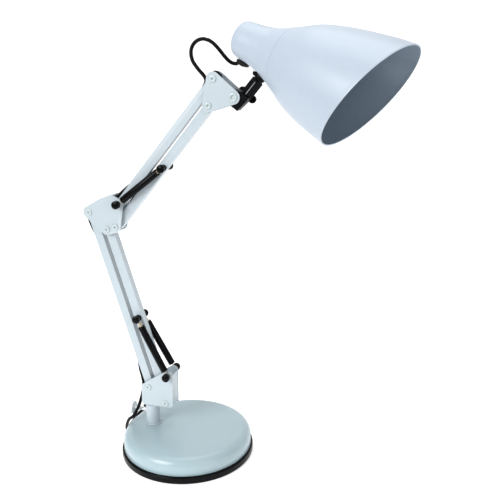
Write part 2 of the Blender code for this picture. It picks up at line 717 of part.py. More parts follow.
def saddle_matrix():
    """On the neck's underside beside the stem's foot, with +Z pointing out of it."""
    at = shade_place() @ Matrix.Translation((24.9 * MM, 0.0, 35.0 * MM))
    return at @ Matrix.Rotation(math.pi / 2, 4, "Y")


def build_saddle_screw(m):
    turned("saddle_screw", [(0.0, 5.2), (1.9, 4.8), (2.8, 3.2), (2.6, 1.2), (1.5, 0.9),
                            (1.5, -4.0), (0.0, -4.0)], m["black_plastic"], saddle_matrix(), 12,
           closed=False)


# ---- cord -----------------------------------------------------------------------------------

def in_channel(foot, way, stops):
    """Route points by a bar: each stop is (distance from its foot, distance to its left)."""
    points = [along(foot, way, ahead, aside) for ahead, aside in stops]
    return [(x, 0.0, z) for x, z in points]


def build_cords(m):
    """The cord, in stretches that meet end to end, one for each joint that it crosses."""
    black = m["black_plastic"]
    rise = in_channel(UPPER_TOP_LEFT, UPPER_ARM, [(-34.0, 1.2), (-26.0, 2.6), (-17.0, 4.6)])
    tube("cord_at_head_pivot", [*rise, (37.4, 0.0, 469.4), (36.9, 0.0, 473.6),
                                (34.6, 0.1, 477.0), (32.4, 0.2, 479.3)], CORD_R, black, 5.0)
    tube("cord_head_loop", [(31.6, 0.2, 480.1), (27.4, 0.4, 484.8), (21.9, 0.8, 492.4),
                            (19.9, 1.3, 500.6), (21.2, 1.8, 507.8), (26.0, 2.3, 513.6),
                            (33.6, 2.8, 516.2), (40.6, 3.3, 514.8)], CORD_R, black, 8.0)
    tube("cord_to_shade", [(41.6, 3.4, 514.3), (46.6, 3.7, 510.8), (52.6, 4.2, 504.4),
                           (58.4, 5.2, 497.2), (63.4, 6.2, 492.0), (68.0, 7.0, 489.6),
                           (71.6, 7.4, 489.3)], CORD_R, black, 8.0)
    upper_length = math.hypot(*UPPER_ARM)
    upper = in_channel(ELBOW_PIVOT_LEFT, UPPER_ARM,
                       [(upper_length - 35.0, 1.1), (upper_length - 50, 0.3), (100, 0.2),
                        (60, 0.3), (44, 1.0), (31, 3.0), (19, 5.8), (8, 7.7), (0, 8.0)])
    tube("cord_upper_arm", [*upper, (-85.6, 0.0, 324.7), (-90.0, 0.0, 320.8),
                            (-95.2, 0.0, 318.8)], CORD_R, black)
    turn_centre = add(LOWER_TOP_LEFT, (2.2, -2.2))
    over = [(x, 0.0, z) for x, z in arc(turn_centre, 8.8, 70, 190, 5)]
    lower_length = math.hypot(*LOWER_ARM)
    lower = in_channel(LOWER_PIVOT_LEFT, LOWER_ARM,
                       [(lower_length - 10, 8.0), (lower_length - 21, 7.2),
                        (lower_length - 33, 4.8), (lower_length - 47, 1.8),
                        (lower_length - 64, 0.4), (110, 0.2), (64, 0.8), (48, 2.6), (34, 6.0),
                        (23.6, 8.3)])
    tube("cord_lower_arm", [(-96.3, 0.0, 318.4), (-103.0, 0.0, 317.2), *over, *lower],
         CORD_R, black, 5.5)
    start_low = in_channel(LOWER_PIVOT_LEFT, LOWER_ARM, [(22.4, 8.5), (12.0, 9.2)])
    tube("cord_at_post_pivot", [*start_low, (-59.4, -0.4, 84.0), (-60.8, -1.5, 72.4)],
         CORD_R, black, 7.0)
    tail = [(-61.1, -1.7, 71.3), (-63.8, -4.2, 60.0), (-67.6, -6.6, 49.0), (-73.2, -7.6, 39.0),
            (-81.4, -4.4, 31.4), (-88.4, 2.4, 19.6), (-92.8, 9.2, 8.8), (-95.8, 18.0, 3.2),
            (-97.6, 30.0, 2.3), (-98.9, 44.0, 2.3), (-99.8, 56.0, 2.3), (-100.3, 66.0, 2.3)]
    tube("cord_tail", tail, CORD_R, black)


def build_coil(m):
    half_wide = COIL_WIDE * CORD_R
    low, high = 0.1, 0.1 + COIL_HIGH * CORD_D
    inner, outer = COIL_MEAN_R - half_wide, COIL_MEAN_R + half_wide
    place = Matrix.Translation((COIL_X * MM, COIL_Y * MM, 0.0))
    step = high - CORD_D
    turned("cord_coil", [(COIL_MEAN_R, high - 1.0), (COIL_MEAN_R, step), (outer - 1.5, step),
                         (outer, step - 1.5), (outer, low + 1.5), (outer - 1.5, low),
                         (inner + 1.5, low), (inner, low + 1.5), (inner, high - 1.5),
                         (inner + 1.5, high), (COIL_MEAN_R - 1.0, high)], m["black_plastic"],
           place, 32)


def build_plug(m):
    """A flat two-pin plug that lies on the coil."""
    low = 0.1 + COIL_HIGH * CORD_D + GAP
    shape = [(-6.8, -27.0), (6.8, -27.0), (8.4, -20.0), (12.8, 2.0), (13.2, 10.0), (-13.2, 10.0),
             (-12.8, 2.0), (-8.4, -20.0)]
    curve = bpy.data.curves.new("plug_outline", "CURVE")
    curve.dimensions = "2D"
    curve.fill_mode = "BOTH"
    curve.extrude = 5.5 * MM
    spline = curve.splines.new("POLY")
    spline.points.add(len(shape) - 1)
    for spot, (x, y) in zip(spline.points, shape):
        spot.co = (x * MM, y * MM, 0.0, 1.0)
    spline.use_cyclic_u = True
    holder = bpy.data.objects.new("plug_outline", curve)
    part.objects.link(holder)
    body = as_mesh(holder, "body", None)
    pins = []
    for side in (-1, 1):
        pins.append(new_cylinder("pin", Vector((side * 9.3 * MM, 18.0 * MM, 0.0)), ALONG_Y, 2.0,
                                 20.0, part, 10))
    plug = weld_pieces("plug", [body, *pins], m["black_plastic"])
    turn = Matrix.Rotation(PLUG_TURN, 4, "Z")
    plug.matrix_world = Matrix.Translation((COIL_X * MM, COIL_Y * MM, (low + 5.5) * MM)) @ turn \
        @ Matrix.Translation((PLUG_ASIDE * MM, PLUG_AHEAD * MM, 0.0))


def main():
    start()
    m = {
        "painted_white": finish_material("painted_white", (0.80, 0.83, 0.85), 0.35),
        "gloss_white": finish_material("gloss_white", (0.84, 0.87, 0.88), 0.3),
        "white_plastic": finish_material("white_plastic", (0.85, 0.86, 0.86), 0.4),
        "black_plastic": finish_material("black_plastic", (0.02, 0.02, 0.025), 0.45),
        "rubber": finish_material("rubber", (0.02, 0.02, 0.02), 0.7),
        "steel": finish_material("steel", (0.6, 0.6, 0.6), 0.35, 1.0),
        "brass": finish_material("brass", (0.75, 0.6, 0.3), 0.3, 1.0),
        "cast_iron": finish_material("cast_iron", (0.2, 0.2, 0.21), 0.7, 0.6),
    }
    build_base(m)
    build_thumbscrew(m)
    build_lower_bracket(m)
    build_bar("lower_bar_left", LOWER_PIVOT_LEFT, LOWER_ARM, 1, m)
    build_bar("lower_bar_right", LOWER_PIVOT_RIGHT, LOWER_ARM, 1, m, LOWER_PEG)
    build_elbow_bracket(m)
    build_bar("upper_bar_left", ELBOW_PIVOT_LEFT, UPPER_ARM, 1, m)
    build_bar("upper_bar_right", ELBOW_PIVOT_RIGHT, UPPER_ARM, 1, m, UPPER_PEG)
    build_head_bracket(m)
    for name, point, half, head in (
            ("rivet_post_left", LOWER_PIVOT_LEFT, WIDE_HALF, RIVET_HEAD_R),
            ("rivet_post_right", LOWER_PIVOT_RIGHT, WIDE_HALF, RIVET_HEAD_R),
            ("rivet_elbow_left", LOWER_TOP_LEFT, WIDE_HALF, RIVET_HEAD_R),
            ("rivet_elbow_mid", LOWER_TOP_RIGHT, WIDE_HALF, RIVET_HEAD_R),
            ("rivet_elbow_right", ELBOW_PIVOT_RIGHT, WIDE_HALF, RIVET_HEAD_R),
            ("rivet_head_left", UPPER_TOP_LEFT, HEAD_HALF, RIVET_HEAD_R),
            ("rivet_head_right", UPPER_TOP_RIGHT, HEAD_HALF, RIVET_HEAD_R),
            ("rivet_head_tilt", TILT_PIVOT, HEAD_HALF, TILT_HEAD_R)):
        build_rivet(name, point, half, head, m["painted_white"])
    for arm, near, far, ends in (("lower", SPRING_PEG_LOW, LOWER_PEG, LOWER_SLEEVE),
                                 ("upper", ELBOW_PIVOT_LEFT, UPPER_PEG, UPPER_SLEEVE)):
        for face, side in (("front", -1), ("rear", 1)):
            build_cap(f"{arm}_near_cap_{face}", near, side, 17.6, 7.0, m)
            build_cap(f"{arm}_far_cap_{face}", far, side, 13.4, 4.6, m)
            build_spring((f"{arm}_sleeve_{face}", f"{arm}_spring_{face}"), near, far, ends,
                         side, m)
    build_tilt_block(m)
    build_stem(m)
    build_shade(m)
    build_gland(m)
    build_saddle_screw(m)
    build_cords(m)
    build_coil(m)
    build_plug(m)


main()
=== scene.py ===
"""The looks of the swing arm desk lamp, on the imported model's frame. Lengths are in mm until a mesh
is made."""

import json
import math

import bmesh
import bpy
import numpy as np
from mathutils import Matrix, Vector

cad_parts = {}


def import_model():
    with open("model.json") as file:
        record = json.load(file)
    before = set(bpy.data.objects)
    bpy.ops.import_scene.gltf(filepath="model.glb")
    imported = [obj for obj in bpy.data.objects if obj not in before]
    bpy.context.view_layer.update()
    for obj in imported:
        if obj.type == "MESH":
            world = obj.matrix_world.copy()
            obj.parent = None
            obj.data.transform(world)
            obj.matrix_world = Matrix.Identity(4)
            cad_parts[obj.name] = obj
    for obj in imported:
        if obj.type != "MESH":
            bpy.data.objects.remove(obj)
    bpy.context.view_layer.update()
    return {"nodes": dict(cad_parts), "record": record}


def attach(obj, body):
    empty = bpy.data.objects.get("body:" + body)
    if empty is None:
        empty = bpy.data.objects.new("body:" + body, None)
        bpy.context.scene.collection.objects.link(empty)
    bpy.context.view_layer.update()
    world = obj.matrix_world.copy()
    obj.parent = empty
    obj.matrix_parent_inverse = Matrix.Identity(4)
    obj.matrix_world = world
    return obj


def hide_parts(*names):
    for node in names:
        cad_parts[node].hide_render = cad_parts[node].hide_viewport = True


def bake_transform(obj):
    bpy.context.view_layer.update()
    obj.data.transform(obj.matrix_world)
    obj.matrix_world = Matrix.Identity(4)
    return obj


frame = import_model()

MM = 0.001
BODY_OF = {}
for body_name, body_nodes in frame["record"]["behaviour"]["bodies"].items():
    for body_node in body_nodes:
        BODY_OF[body_node] = body_name

# Pivots as (x, z), and the arms' ways, as in the CAD
P1, P2 = (-48.57, 85.16), (-25.37, 64.86)
LOWER_ARM, UPPER_ARM = (-67.98, 227.30), (124.10, 148.12)
E1 = (P1[0] + LOWER_ARM[0], P1[1] + LOWER_ARM[1])
E2 = (P2[0] + LOWER_ARM[0], P2[1] + LOWER_ARM[1])
E4, E3 = (-75.38, 325.34), (-81.60, 295.70)
H1 = (E4[0] + UPPER_ARM[0], E4[1] + UPPER_ARM[1])
H2 = (E3[0] + UPPER_ARM[0], E3[1] + UPPER_ARM[1])
H3 = (72.02, 453.48)
S1 = (-19.94, 105.11)
STEM_TILT, STEM_OFF = math.radians(49.76), 8.46
SHADE_PITCH, SHADE_SWIVEL = math.radians(23.0), math.radians(-13.9)
SHADE_ORIGIN = (71.7, 518.9)
MOUTH_S, MOUTH_CUT = 168.9, math.radians(18.6)
POST_X, KNOB_Z = -48.0, 47.6
CORD_D = 4.2
COIL_X, COIL_Y, COIL_MEAN_R = -74.2, 84.0, 21.4


# ---- camera ---------------------------------------------------------------------------------

def make_camera():
    spot, target = Vector((0.3243, -0.7837, 0.5086)), Vector((0.09278, 0.0, 0.27635))
    back = (spot - target).normalized()
    right = Vector((0, 0, 1)).cross(back).normalized()
    up = back.cross(right)
    roll = math.radians(-0.42)
    right, up = (right * math.cos(roll) + up * math.sin(roll),
                 up * math.cos(roll) - right * math.sin(roll))
    data = bpy.data.cameras.new("camera")
    data.lens, data.sensor_width = 51.9, 36.0
    data.shift_x, data.shift_y = -0.0087, 0.0008
    data.clip_start, data.clip_end = 0.05, 20.0
    camera = bpy.data.objects.new("camera", data)
    camera.matrix_world = Matrix.Translation(spot) @ Matrix((right, up, back)).transposed().to_4x4()
    bpy.context.scene.collection.objects.link(camera)
    bpy.context.scene.camera = camera


# ---- points ---------------------------------------------------------------------------------

def along(start, way, ahead, aside=0.0):
    length = math.hypot(*way)
    ux, uz = way[0] / length, way[1] / length
    return (start[0] + ux * ahead - uz * aside, start[1] + uz * ahead + ux * aside)


STEM_WAY = (math.cos(STEM_TILT), math.sin(STEM_TILT))
Q1 = along(P2, LOWER_ARM, 118.0)
Q2 = along(E3, UPPER_ARM, 99.0, -1.5)


def on_stem(ahead, aside=0.0):
    return along(H3, STEM_WAY, ahead, -aside)


def world(point, y=0.0):
    return Vector((point[0] * MM, y * MM, point[1] * MM))


def axis_place(origin, way):
    turn = Vector(way).normalized().to_track_quat("Z", "Y").to_matrix().to_4x4()
    return Matrix.Translation(origin) @ turn


def plane_place(origin, way):
    """+Z along way in the arms' plane, +Y kept, +X to the lower side."""
    z = Vector(way).normalized()
    y = Vector((0.0, 1.0, 0.0))
    return Matrix.Translation(origin) @ Matrix((y.cross(z), y, z)).transposed().to_4x4()


def stem_place(ahead=0.0):
    return plane_place(world(on_stem(ahead, STEM_OFF)), (STEM_WAY[0], 0.0, STEM_WAY[1]))


def shade_place():
    before = plane_place(world(SHADE_ORIGIN), (math.cos(SHADE_PITCH), 0.0,
                                               -math.sin(SHADE_PITCH)))
    pivot = stem_place().translation
    swivel = Matrix.Rotation(SHADE_SWIVEL, 4, stem_place().col[2].to_3d())
    return Matrix.Translation(pivot) @ swivel @ Matrix.Translation(-pivot) @ before


def under_neck(down, s):
    """A place on the neck's underside with +Z pointing out of it."""
    return shade_place() @ Matrix.Translation((down * MM, 0.0, s * MM)) \
        @ Matrix.Rotation(math.pi / 2, 4, "Y")


# ---- materials ------------------------------------------------------------------------------

def material(name, colour, roughness, metallic=0.0, spread=0.03, scale=160.0, bump=0.05,
             bump_scale=900.0, rough_spread=0.08, coat=0.0, edge_highlight=None, shine=0.5):
    """A surface with slight mottling in its colour and gloss, a fine grain, and a lighter colour on
    its sharp edges, a painted highlight, where one is given."""
    made = bpy.data.materials.new(name)
    made.use_nodes = True
    tree = made.node_tree
    nodes, links = tree.nodes, tree.links
    shader = nodes["Principled BSDF"]
    shader.inputs["Metallic"].default_value = metallic
    shader.inputs["Specular IOR Level"].default_value = shine
    shader.inputs["Coat Weight"].default_value = coat
    shader.inputs["Coat Roughness"].default_value = 0.12
    spots = nodes.new("ShaderNodeTexCoord")
    mottle = nodes.new("ShaderNodeTexNoise")
    mottle.inputs["Scale"].default_value = scale
    mottle.inputs["Detail"].default_value = 5.0
    links.new(spots.outputs["Object"], mottle.inputs["Vector"])
    ramp = nodes.new("ShaderNodeValToRGB")
    ramp.color_ramp.elements[0].position = 0.3
    ramp.color_ramp.elements[1].position = 0.7
    ramp.color_ramp.elements[0].color = (*[max(c * (1 - spread), 0.0) for c in colour], 1.0)
    ramp.color_ramp.elements[1].color = (*[min(c * (1 + spread), 1.0) for c in colour], 1.0)
    links.new(mottle.outputs["Fac"], ramp.inputs["Fac"])
    paint = ramp.outputs["Color"]
    # Sharp edges, found by pointiness, are mixed towards the lighter colour: a painted highlight.
    if edge_highlight is not None:
        geometry = nodes.new("ShaderNodeNewGeometry")
        edge = nodes.new("ShaderNodeMapRange")
        edge.inputs["From Min"].default_value = 0.53
        edge.inputs["From Max"].default_value = 0.62
        edge.inputs["To Max"].default_value = 0.55
        links.new(geometry.outputs["Pointiness"], edge.inputs["Value"])
        mix = nodes.new("ShaderNodeMix")
        mix.data_type = "RGBA"
        links.new(edge.outputs["Result"], mix.inputs[0])
        links.new(paint, mix.inputs[6])
        mix.inputs[7].default_value = (*edge_highlight, 1.0)
        paint = mix.outputs[2]
    links.new(paint, shader.inputs["Base Color"])
    gloss = nodes.new("ShaderNodeMapRange")
    gloss.inputs["To Min"].default_value = max(roughness - rough_spread, 0.03)
    gloss.inputs["To Max"].default_value = min(roughness + rough_spread, 1.0)
    links.new(mottle.outputs["Fac"], gloss.inputs["Value"])
    links.new(gloss.outputs["Result"], shader.inputs["Roughness"])
    grain = nodes.new("ShaderNodeTexNoise")
    grain.inputs["Scale"].default_value = bump_scale
    grain.inputs["Detail"].default_value = 3.0
    links.new(spots.outputs["Object"], grain.inputs["Vector"])
    relief = nodes.new("ShaderNodeBump")
    relief.inputs["Strength"].default_value = bump
    relief.inputs["Distance"].default_value = 0.0004
    links.new(grain.outputs["Fac"], relief.inputs["Height"])
    links.new(relief.outputs["Normal"], shader.inputs["Normal"])
    return made


M = {
    # painted_white and rivet_paint are lighter on their sharp edges: a painted highlight.
    "painted_white": material("painted_white", (0.47, 0.54, 0.585), 0.34, spread=0.015,
                              bump=0.10, coat=0.15, edge_highlight=(0.60, 0.66, 0.70)),
    # The base cover's paint is the arms' white made darker: painted shade, because its top gets less
    # light than the arms.
    "base_white_painted_shade": material("base_white_painted_shade", (0.34, 0.45, 0.49), 0.32, spread=0.015, bump=0.10,
                           coat=0.2),
    "shade_white": material("shade_white", (0.435, 0.505, 0.59), 0.42, spread=0.012, bump=0.012,
                            coat=0.08),
    # The bell is the same white inside as outside; its darker inner colour is painted shade.
    "shade_inner_painted_shade": material("shade_inner_painted_shade", (0.19, 0.245, 0.305), 0.36, spread=0.02, bump=0.03,
                            shine=0.45),
    "gloss_white": material("gloss_white", (0.74, 0.79, 0.81), 0.25, spread=0.01, bump=0.03,
                            coat=0.3),
    "white_plastic": material("white_plastic", (0.78, 0.80, 0.80), 0.4, spread=0.01),
    "black_plastic": material("black_plastic", (0.0020, 0.0023, 0.0032), 0.40, spread=0.2,
                              bump=0.10, bump_scale=1400.0, shine=0.07),
    "black_gloss": material("black_gloss", (0.0016, 0.0018, 0.0026), 0.25, spread=0.2, bump=0.05,
                            shine=0.10),
    "rubber": material("rubber", (0.0030, 0.0030, 0.0036), 0.62, spread=0.25, bump=0.3,
                       bump_scale=1800.0, shine=0.07),
    "cord_black": material("cord_black", (0.0018, 0.0018, 0.0026), 0.42, spread=0.2, bump=0.12,
                           bump_scale=1200.0, shine=0.09),
    "steel": material("steel", (0.62, 0.63, 0.64), 0.3, metallic=1.0, spread=0.06, bump=0.1,
                      bump_scale=700.0),
    "hook_wire": material("hook_wire", (0.66, 0.56, 0.38), 0.3, metallic=1.0, spread=0.08),
    "rivet_paint": material("rivet_paint", (0.47, 0.56, 0.58), 0.3, spread=0.02, bump=0.06,
                            coat=0.2, edge_highlight=(0.66, 0.70, 0.72)),
    # A lighter grey for a strip on the black stem's near edge: a painted highlight.
    "painted_ridge_highlight": material("painted_ridge_highlight", (0.30, 0.31, 0.33), 0.4, spread=0.05),
    "brass": material("brass", (0.75, 0.58, 0.28), 0.28, metallic=1.0, spread=0.06),
    "cast_iron": material("cast_iron", (0.09, 0.09, 0.095), 0.75, metallic=0.5, spread=0.3,
                          bump=0.8, bump_scale=400.0),
}


# ---- meshes ---------------------------------------------------------------------------------

def show(name, mesh, paint, body=None, slot=None, stands_for=(), sharp=40.0, place=None):
    """Adds a mesh as a piece that rides on a body."""
    made = bpy.data.objects.new(name, mesh)
    bpy.context.scene.collection.objects.link(made)
    mesh.materials.clear()
    mesh.materials.append(M[paint])
    shade_smooth(mesh, sharp)
    if place is not None:
        made.matrix_world = place
    if stands_for:
        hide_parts(*stands_for)
    if body is not None:
        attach(made, body)
    return made


def shade_smooth(mesh, sharp):
    shape = bmesh.new()
    shape.from_mesh(mesh)
    bmesh.ops.recalc_face_normals(shape, faces=shape.faces)
    limit = math.radians(sharp)
    for face in shape.faces:
        face.smooth = True
    for edge in shape.edges:
        edge.smooth = len(edge.link_faces) == 2 and edge.calc_face_angle(0.0) < limit
    shape.to_mesh(mesh)
    shape.free()


def lathe(profile, steps, closed=True):
    """A mesh turned about +Z from (radius, height) points."""
    shape = bmesh.new()
    rings = []
    for r, h in profile:
        if r < 1e-6:
            rings.append([shape.verts.new((0, 0, h * MM))])
            continue
        rings.append([shape.verts.new((r * MM * math.cos(t), r * MM * math.sin(t), h * MM))
                      for t in np.linspace(0, 2 * math.pi, steps, endpoint=False)])
    pairs = list(zip(rings, rings[1:]))
    if closed:
        pairs.append((rings[-1], rings[0]))
    for a, b in pairs:
        if len(a) == 1 and len(b) == 1:
            continue
        for i in range(steps):
            j = (i + 1) % steps
            if len(a) == 1:
                shape.faces.new((a[0], b[i], b[j]))
            elif len(b) == 1:
                shape.faces.new((a[i], a[j], b[0]))
            else:
                shape.faces.new((a[i], a[j], b[j], b[i]))
    mesh = bpy.data.meshes.new("turned")
    shape.to_mesh(mesh)
    shape.free()
    return mesh


def rounded(profile, radius, steps=4):
    """The profile with its corners rounded."""
    out = []
    count = len(profile)
    for i, spot in enumerate(profile):
        before, after = profile[i - 1], profile[(i + 1) % count]
        if spot[0] < 1e-6:
            out.append(spot)
            continue
        p = np.array(spot, float)
        a, b = np.array(before, float) - p, np.array(after, float) - p
        la, lb = np.linalg.norm(a), np.linalg.norm(b)
        if la < 1e-6 or lb < 1e-6:
            out.append(spot)
            continue
        cut = min(radius, la * 0.45, lb * 0.45)
        first, last = p + a / la * cut, p + b / lb * cut
        for t in np.linspace(0, 1, steps + 1):
            q = (1 - t) ** 2 * first + 2 * t * (1 - t) * p + t ** 2 * last
            out.append((float(q[0]), float(q[1])))
    return out


def smooth_line(points, spacing):
    """Points about spacing apart on a smooth curve through the given ones."""
    knots = np.array(points, float)
    ends = [2 * knots[0] - knots[1], *knots, 2 * knots[-1] - knots[-2]]
    fine = []
    for a, b, c, d in zip(ends, ends[1:], ends[2:], ends[3:]):
        for t in np.linspace(0, 1, 24, endpoint=False):
            fine.append(0.5 * (2 * b + (c - a) * t + (2 * a - 5 * b + 4 * c - d) * t ** 2
                               + (3 * b - a - 3 * c + d) * t ** 3))
    fine = np.array([*fine, knots[-1]])
    run = np.concatenate([[0], np.cumsum(np.linalg.norm(np.diff(fine, axis=0), axis=1))])
    stops = np.linspace(0, run[-1], max(3, round(run[-1] / spacing)) + 1)
    return np.stack([np.interp(stops, run, fine[:, k]) for k in range(fine.shape[1])], 1)


def tube_mesh(spots, radius, sides=14, capped=True):
    """A round tube along points, with a frame carried along so that it never twists."""
    spots = np.array(spots, float)
    ways = np.gradient(spots, axis=0)
    ways /= np.linalg.norm(ways, axis=1)[:, None]
    side = np.cross(ways[0], (0.3, 0.5, 0.81))
    side /= np.linalg.norm(side)
    shape = bmesh.new()
    rings = []
    for spot, way in zip(spots, ways):
        side = side - way * (side @ way)
        side /= np.linalg.norm(side)
        up = np.cross(way, side)
        rings.append([shape.verts.new((spot + radius * (math.cos(t) * side + math.sin(t) * up))
                                      * MM)
                      for t in np.linspace(0, 2 * math.pi, sides, endpoint=False)])
    for a, b in zip(rings, rings[1:]):
        for i in range(sides):
            j = (i + 1) % sides
            shape.faces.new((a[i], a[j], b[j], b[i]))
    if capped:
        shape.faces.new(rings[0][::-1])
        shape.faces.new(rings[-1])
    mesh = bpy.data.meshes.new("tube")
    shape.to_mesh(mesh)
    shape.free()
    return mesh


def flat_mesh(outlines, y_low, y_high):
    """A flat piece parallel to the arms' plane: its edge, and then its holes."""
    curve = bpy.data.curves.new("outline", "CURVE")
    curve.dimensions = "2D"
    curve.fill_mode = "BOTH"
    curve.extrude = (y_high - y_low) / 2 * MM
    for outline in outlines:
        spline = curve.splines.new("POLY")
        spline.points.add(len(outline) - 1)
        for spot, (x, z) in zip(spline.points, outline):
            spot.co = (x * MM, z * MM, 0.0, 1.0)
        spline.use_cyclic_u = True
    holder = bpy.data.objects.new("outline", curve)
    bpy.context.scene.collection.objects.link(holder)
    bpy.context.view_layer.update()
    seen = holder.evaluated_get(bpy.context.evaluated_depsgraph_get())
    mesh = bpy.data.meshes.new_from_object(seen)
    bpy.data.objects.remove(holder, do_unlink=True)
    mesh.transform(Matrix.Translation((0, (y_low + y_high) / 2 * MM, 0))
                   @ Matrix.Rotation(math.pi / 2, 4, "X"))
    shape = bmesh.new()
    shape.from_mesh(mesh)
    bmesh.ops.remove_doubles(shape, verts=shape.verts, dist=1e-6)
    shape.to_mesh(mesh)
    shape.free()
    return mesh


def bevel(piece, width, segments=2, angle=30.0):
    """Rounds a piece's edges."""
    step = piece.modifiers.new("bevel", "BEVEL")
    step.width = width * MM
    step.segments = segments
    step.limit_method = "ANGLE"
    step.angle_limit = math.radians(angle)
    return piece


def refined(node, paint, width=0.3, slot=None, sharp=38.0):
    """The CAD node's own shape with its flats made whole and its edges rounded."""
    mesh = frame["nodes"][node].data.copy()
    shape = bmesh.new()
    shape.from_mesh(mesh)
    bmesh.ops.remove_doubles(shape, verts=shape.verts, dist=1e-6)
    bmesh.ops.dissolve_limit(shape, angle_limit=math.radians(1.0), verts=shape.verts,
                             edges=shape.edges)
    shape.to_mesh(mesh)
    shape.free()
    made = show(node + "_fine", mesh, paint, BODY_OF[node], slot, (node,), sharp)
    return bevel(made, width, 2)


def circle(centre, radius, steps=32):
    return [(centre[0] + radius * math.cos(t), centre[1] + radius * math.sin(t))
            for t in np.linspace(0, 2 * math.pi, steps, endpoint=False)]


def joined(name, meshes, paint, **rest):
    """One piece from several meshes."""
    shape = bmesh.new()
    for mesh in meshes:
        shape.from_mesh(mesh)
    mesh = bpy.data.meshes.new(name)
    shape.to_mesh(mesh)
    shape.free()
    return show(name, mesh, paint, **rest)


def moved(mesh, place):
    mesh.transform(place)
    return mesh


# ---- cord -----------------------------------------------------------------------------------

def in_channel(foot, way, stops):
    points = [along(foot, way, ahead, aside) for ahead, aside in stops]
    return [(x, 0.0, z) for x, z in points]


def cord_routes():
    """The cord's stretches from the shade to the floor. Each starts where the last one ends."""
    upper_length, lower_length = math.hypot(*UPPER_ARM), math.hypot(*LOWER_ARM)
    to_shade = [(72.9, 7.5, 489.4), (68.0, 7.0, 489.6), (63.4, 6.2, 492.0), (58.4, 5.2, 497.2),
                (52.6, 4.2, 504.4), (46.6, 3.7, 510.8), (41.1, 3.35, 514.6)]
    loop = [(41.1, 3.35, 514.6), (33.6, 2.8, 516.2), (26.0, 2.3, 513.6), (21.2, 1.8, 507.8),
            (19.9, 1.3, 500.6), (21.9, 0.8, 492.4), (27.4, 0.4, 484.8), (32.0, 0.2, 479.7)]
    rise = in_channel(H1, UPPER_ARM, [(-17.0, 4.6), (-26.0, 2.6), (-34.0, 1.2)])
    at_head = [(32.0, 0.2, 479.7), (34.6, 0.1, 477.0), (36.9, 0.0, 473.6), (37.4, 0.0, 469.4),
               *rise]
    upper = in_channel(E4, UPPER_ARM, [(upper_length - 34.0, 1.2), (upper_length - 50, 0.3),
                                       (100, 0.2), (60, 0.3), (44, 1.0), (31, 3.0), (19, 5.8),
                                       (8, 7.7), (0, 8.0)])
    upper += [(-85.6, 0.0, 324.7), (-90.0, 0.0, 320.8), (-95.8, 0.0, 318.6)]
    over = [(E1[0] + 2.2 + 8.8 * math.cos(t), 0.0, E1[1] - 2.2 + 8.8 * math.sin(t))
            for t in np.radians(np.linspace(70, 190, 6))]
    lower = in_channel(P1, LOWER_ARM, [(lower_length - 10, 8.0), (lower_length - 21, 7.2),
                                       (lower_length - 33, 4.8), (lower_length - 47, 1.8),
                                       (lower_length - 64, 0.4), (110, 0.2), (64, 0.8),
                                       (48, 2.6), (34, 6.0), (23.0, 8.4)])
    lower = [(-95.8, 0.0, 318.6), (-103.0, 0.0, 317.2), *over, *lower]
    low = in_channel(P1, LOWER_ARM, [(23.0, 8.4), (12.0, 9.2)])
    at_post = [*low, (-59.4, -0.4, 84.0), (-60.95, -1.6, 71.8)]
    tail = [(-60.95, -1.6, 71.8), (-63.8, -4.2, 60.0), (-67.6, -6.6, 49.0), (-73.2, -7.6, 39.0),
            (-81.4, -4.4, 31.4), (-88.4, 2.4, 19.6), (-92.8, 9.2, 8.8), (-95.8, 18.0, 3.2),
            (-97.6, 30.0, 2.3), (-98.9, 44.0, 2.3), (-99.8, 56.0, 2.3), (-100.3, 66.0, 2.3)]
    return {"to_shade": to_shade, "loop": loop, "at_head": at_head, "upper": upper,
            "lower": lower, "at_post": at_post, "tail": tail}


LANES = ((1, 0), (0, 0), (0, 1), (1, 1), (1, 2), (0, 2), (0, 3))  # outer or inner, and layer
FIRST_TURN = math.radians(186)
PLUG_TURN, PLUG_Z, TOP_TURN_R = math.radians(24.6), 22.7, 16.6


def coil_points():
    """The turns of the coil, from its lowest outer turn in and up, wound clockwise from above, and
    the last bend that takes the cord across its hole to the plug."""
    points = []
    for k, (lane, layer) in enumerate(LANES):
        nxt = LANES[min(k + 1, len(LANES) - 1)]
        for i in range(24):
            t = i / 24
            step = max(0.0, (t - 0.72) / 0.28)
            step = step * step * (3 - 2 * step)
            r = COIL_MEAN_R + CORD_D * ((lane - 0.5) * (1 - step) + (nxt[0] - 0.5) * step)
            z = CORD_D / 2 + 0.15 + CORD_D * (layer * (1 - step) + nxt[1] * step)
            turn = FIRST_TURN - 2 * math.pi * t
            points.append((COIL_X + r * math.cos(turn), COIL_Y + r * math.sin(turn), z))
    inner = COIL_MEAN_R - CORD_D / 2
    low = CORD_D / 2 + 0.15 + 3 * CORD_D
    leave = PLUG_TURN
    sweep = (FIRST_TURN - leave) % (2 * math.pi)
    for t in np.linspace(0, sweep, 8)[1:-1]:
        turn = FIRST_TURN - t
        points.append((COIL_X + inner * math.cos(turn), COIL_Y + inner * math.sin(turn), low))
    centre = inner - TOP_TURN_R
    cx = COIL_X + centre * math.cos(leave)
    cy = COIL_Y + centre * math.sin(leave)
    for t in np.linspace(0, math.pi * 0.97, 9):
        turn = leave - t
        rise = (1 - math.cos(t)) / 2
        points.append((cx + TOP_TURN_R * math.cos(turn), cy + TOP_TURN_R * math.sin(turn),
                       low + (PLUG_Z - low) * rise))
    return points


